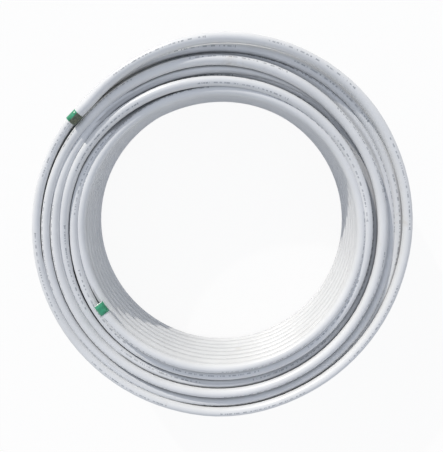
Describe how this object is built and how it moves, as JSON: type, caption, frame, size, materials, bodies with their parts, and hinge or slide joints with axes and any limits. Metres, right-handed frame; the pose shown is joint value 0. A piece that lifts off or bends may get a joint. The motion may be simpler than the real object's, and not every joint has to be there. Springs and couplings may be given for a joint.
{
  "type": "coil of multilayer pipe",
  "caption": "Coil of white multilayer water pipe wound in layers round an open bore, lying flat, with green tape on both pipe ends.",
  "frame": {"origin": "on the floor, under the middle of the coil's bore", "axes": "+Z up along the coil's axis; the outer pipe end lies up and left of the bore when seen from above with +Y up"},
  "size_m": [0.6396, 0.6396, 0.1498],
  "materials": {
    "pipe": "smooth extruded white polyethylene",
    "tape": "semi-gloss green adhesive tape"
  },
  "bodies": {
    "root": {"pipe_coil": "pipe", "outer_end_tape": "tape", "inner_end_tape": "tape"}
  },
  "joints": []
}
